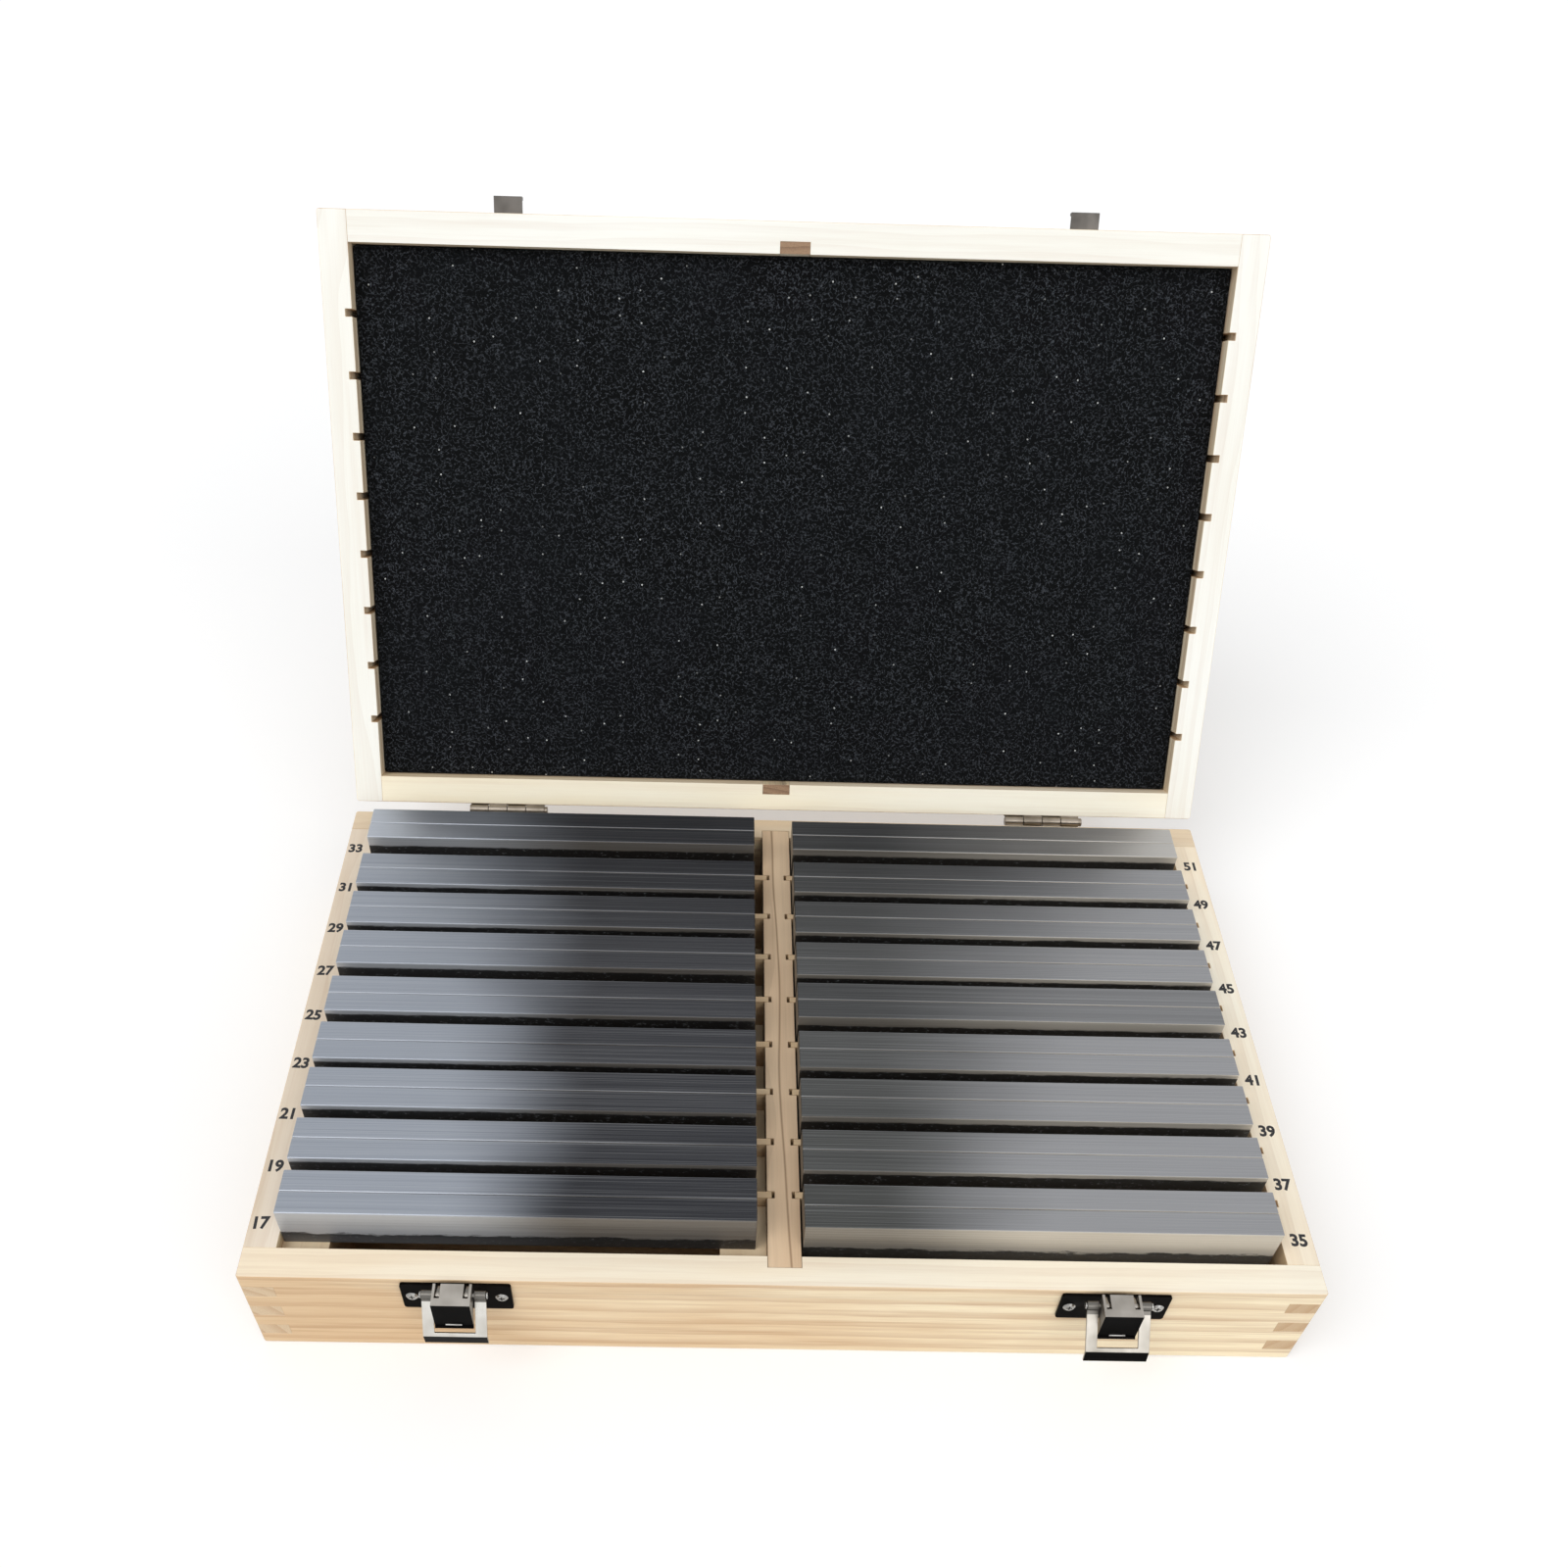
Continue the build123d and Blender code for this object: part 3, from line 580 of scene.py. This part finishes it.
nickel = plated("nickel-plated steel", "#a2988c", "#7f766a", 0.3)
bright_zinc = plated("bright zinc screws", "#c2c1be", "#85837f", 0.22)
for side in ("left", "right"):
    softened(f"{side}_hinge_base_leaf", "base", "plated_steel", nickel, leaf_edge)
    softened(f"{side}_hinge_lid_leaf", "lid", "plated_steel", nickel, leaf_edge)
softened("hinge_pins", "base", "plated_steel", nickel, 0.12 * mm)
softened("hinge_base_screws", "base", "bright_screws", bright_zinc, screw_edge, segments=1)
softened("hinge_lid_screws", "lid", "bright_screws", bright_zinc, screw_edge, segments=1)

# Latches. A steel plate on the base's front, painted black as a painted dark reflection,
# carries a folded lever on a pin between its ears, and the lever carries a sheet loop on two
# rivets. Lever and loop are pressed steel with bright plating, painted dark where they face
# forwards and not up, and at the lever's lip and the loop's eyes, as a painted dark reflection;
# the right loop is painted darker all over, a painted shade. The lever's nose has a raised bead.
plate_thick = 1.4 * mm
lip_height = 1.1 * mm
eye_reach = 0.6 * mm
bead_long, bead_proud, bead_high = 5.2 * mm, 0.9 * mm, 0.6 * mm
bead_back, bead_up = 0.6 * mm, 2.1 * mm
bead_edge = 0.22 * mm
# Patches: the plate's ears in a bright colour, and a painted dark reflection on the lever's lip and
# on the loop's eyes
bare_ears = ("Y", "LESS_THAN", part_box("base_front_wall")[0].y - plate_thick, "#a5a099")
lip_dark_reflection = ("Z", "LESS_THAN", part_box("left_latch_lever")[0].z + lip_height, "#0b0a0a")
eyes_dark_reflection = ("Z", "GREATER_THAN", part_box("left_latch_loop_rivets")[0].z - eye_reach, "#6e6b66")
# The plate is painted black, a painted dark reflection; its ears keep a bright plated colour
black_plate = plated("steel, painted black as a dark reflection, with bright ears", "#171514", "#0f0e0d", 0.3,
                     patches=[bare_ears], rim_tint=0.55)
lever_plate = plated("satin-plated steel lever", "#b4afa8", "#96918a", 0.3, dark_reflection="#0b0a0a",
                     patches=[lip_dark_reflection], rim_tint=0.6)
# The right loop is painted darker than the left, a painted shade
loop_plates = {"left": plated("bright-plated steel loop", "#e2dfd8", "#c4bfb6", 0.26,
                              dark_reflection="#090808", patches=[eyes_dark_reflection], rim_tint=0.65),
               "right": plated("handled bright-plated steel loop", "#b9b4ac", "#98938a", 0.3,
                               dark_reflection="#090808", patches=[eyes_dark_reflection], rim_tint=0.65)}
for side in ("left", "right"):
    plate, lever, loop = (f"{side}_latch_{part}" for part in ("plate", "lever", "loop"))
    softened(plate, "base", "plated_steel", black_plate, 0.12 * mm)
    softened(lever, f"{side}_lever", "plated_steel", lever_plate, 0.35 * mm, segments=3)
    low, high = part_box(lever)
    middle = Vector(((low.x + high.x) / 2, low.y + bead_back, low.z + bead_up))
    reach = Vector((bead_long, bead_proud, bead_high)) / 2
    bead = bmesh.new()
    block(bead, middle - reach, middle + reach)
    round_edges(bead, bead_edge, 3)
    show(made_mesh(f"{side}_lever_bead", bead, bright_zinc), f"{side}_lever", "plated_steel")
    softened(loop + "_rivets", f"{side}_lever", "bright_screws", bright_zinc, 0.1 * mm)
    softened(loop, f"{side}_loop", "plated_steel", loop_plates[side], 0.15 * mm)
softened("latch_lever_pins", "base", "plated_steel", nickel, 0.1 * mm)
softened("latch_plate_screws", "base", "bright_screws", bright_zinc, screw_edge, segments=1)

# Catches. A pressed steel hook with a dull plating, held by two screws to the front of the lid,
# a little outwards of each latch. The loop hooks over it when the lid is shut.
dull_plate = plated("dull-plated steel", "#6b6763", "#53504d", 0.4)
for side in ("left", "right"):
    softened(f"{side}_lid_catch", "lid", "plated_steel", dull_plate, 0.15 * mm)
softened("lid_catch_screws", "lid", "bright_screws", bright_zinc, 0.05 * mm, segments=1)

# Studio. A white floor under soft even light, which isn't part of the object. The camera and
# the metal see the floor and the room as white, and the object's shadow stays.
floor_reach = 8.0
floor_glow = 0.24
room_light = 0.6


def seen_directly(tree):
    """1 for what the camera, a reflection or a clear body sees, and 0 for light that falls."""
    path = add_node(tree, "LightPath").outputs
    direct = reckon(tree, "MAXIMUM", path["Is Camera Ray"], path["Is Glossy Ray"])
    return reckon(tree, "MAXIMUM", direct, path["Is Transmission Ray"])


def floor_white():
    """White card with a little glow of its own, for direct sight only."""
    made, tree, shader = new_finish("white studio card")
    shader.inputs["Base Color"].default_value = (0.8, 0.8, 0.8, 1.0)
    shader.inputs["Roughness"].default_value = 0.9
    shader.inputs["Specular IOR Level"].default_value = 0.0
    shader.inputs["Emission Color"].default_value = (1.0, 1.0, 1.0, 1.0)
    glow = reckon(tree, "MULTIPLY", seen_directly(tree), floor_glow)
    tree.links.new(glow, shader.inputs["Emission Strength"])
    return made


card_sheet = bmesh.new()
bmesh.ops.create_grid(card_sheet, x_segments=2, y_segments=2, size=floor_reach)
floor = bpy.data.objects.new("studio_floor", made_mesh("studio_floor", card_sheet, floor_white()))
bpy.context.scene.collection.objects.link(floor)

world = bpy.data.worlds.new("studio")
bpy.context.scene.world = world
world.use_nodes = True
sky = world.node_tree
sky.nodes.clear()
room = add_node(sky, "Background", {"Color": (0.97, 0.985, 1.0, 1.0), "Strength": room_light})
card = add_node(sky, "Background", {"Color": (1.0, 1.0, 1.0, 1.0), "Strength": 1.0})
either = add_node(sky, "MixShader", {0: seen_directly(sky), 1: room.outputs[0], 2: card.outputs[0]})
add_node(sky, "OutputWorld", {0: either.outputs[0]})

for name, place, strength in (("key light", (-0.55, -0.45, 0.9), 1.1),
                              ("fill light", (0.45, -0.75, 0.6), 0.68)):
    lamp = bpy.data.lights.new(name, "SUN")
    lamp.energy = strength
    lamp.angle = math.radians(40)
    light = bpy.data.objects.new(name, lamp)
    light.location = place
    light.rotation_euler = Vector(place).to_track_quat("Z", "Y").to_euler()
    bpy.context.scene.collection.objects.link(light)

# Camera. It stands in front of the case and looks down on it. The photograph is a crop, so
# the lens is shifted to set the picture where the crop sets it.
picture = 1600
focal = 1486.11
middle = (-51.57, 207.28)
yaw, pitch, roll = 0.0243, 0.8496, 0.0382
stand = (-25.17 * mm, -335.61 * mm, 442.03 * mm)
view = bpy.data.cameras.new("camera")
view.sensor_width = 36.0
view.lens = view.sensor_width * focal / picture
view.shift_x = -middle[0] / picture
view.shift_y = middle[1] / picture
ahead = Vector((math.sin(yaw) * math.cos(pitch), math.cos(yaw) * math.cos(pitch),
                -math.sin(pitch)))
level = Vector((math.cos(yaw), -math.sin(yaw), 0))
above = level.cross(ahead)
right = math.cos(roll) * level + math.sin(roll) * above
top = math.cos(roll) * above - math.sin(roll) * level
camera = bpy.data.objects.new("camera", view)
camera.matrix_world = (Matrix.Translation(stand)
                       @ Matrix((right, top, -ahead)).transposed().to_4x4())
bpy.context.scene.collection.objects.link(camera)
bpy.context.scene.camera = camera
bpy.context.scene.view_settings.view_transform = "Standard"
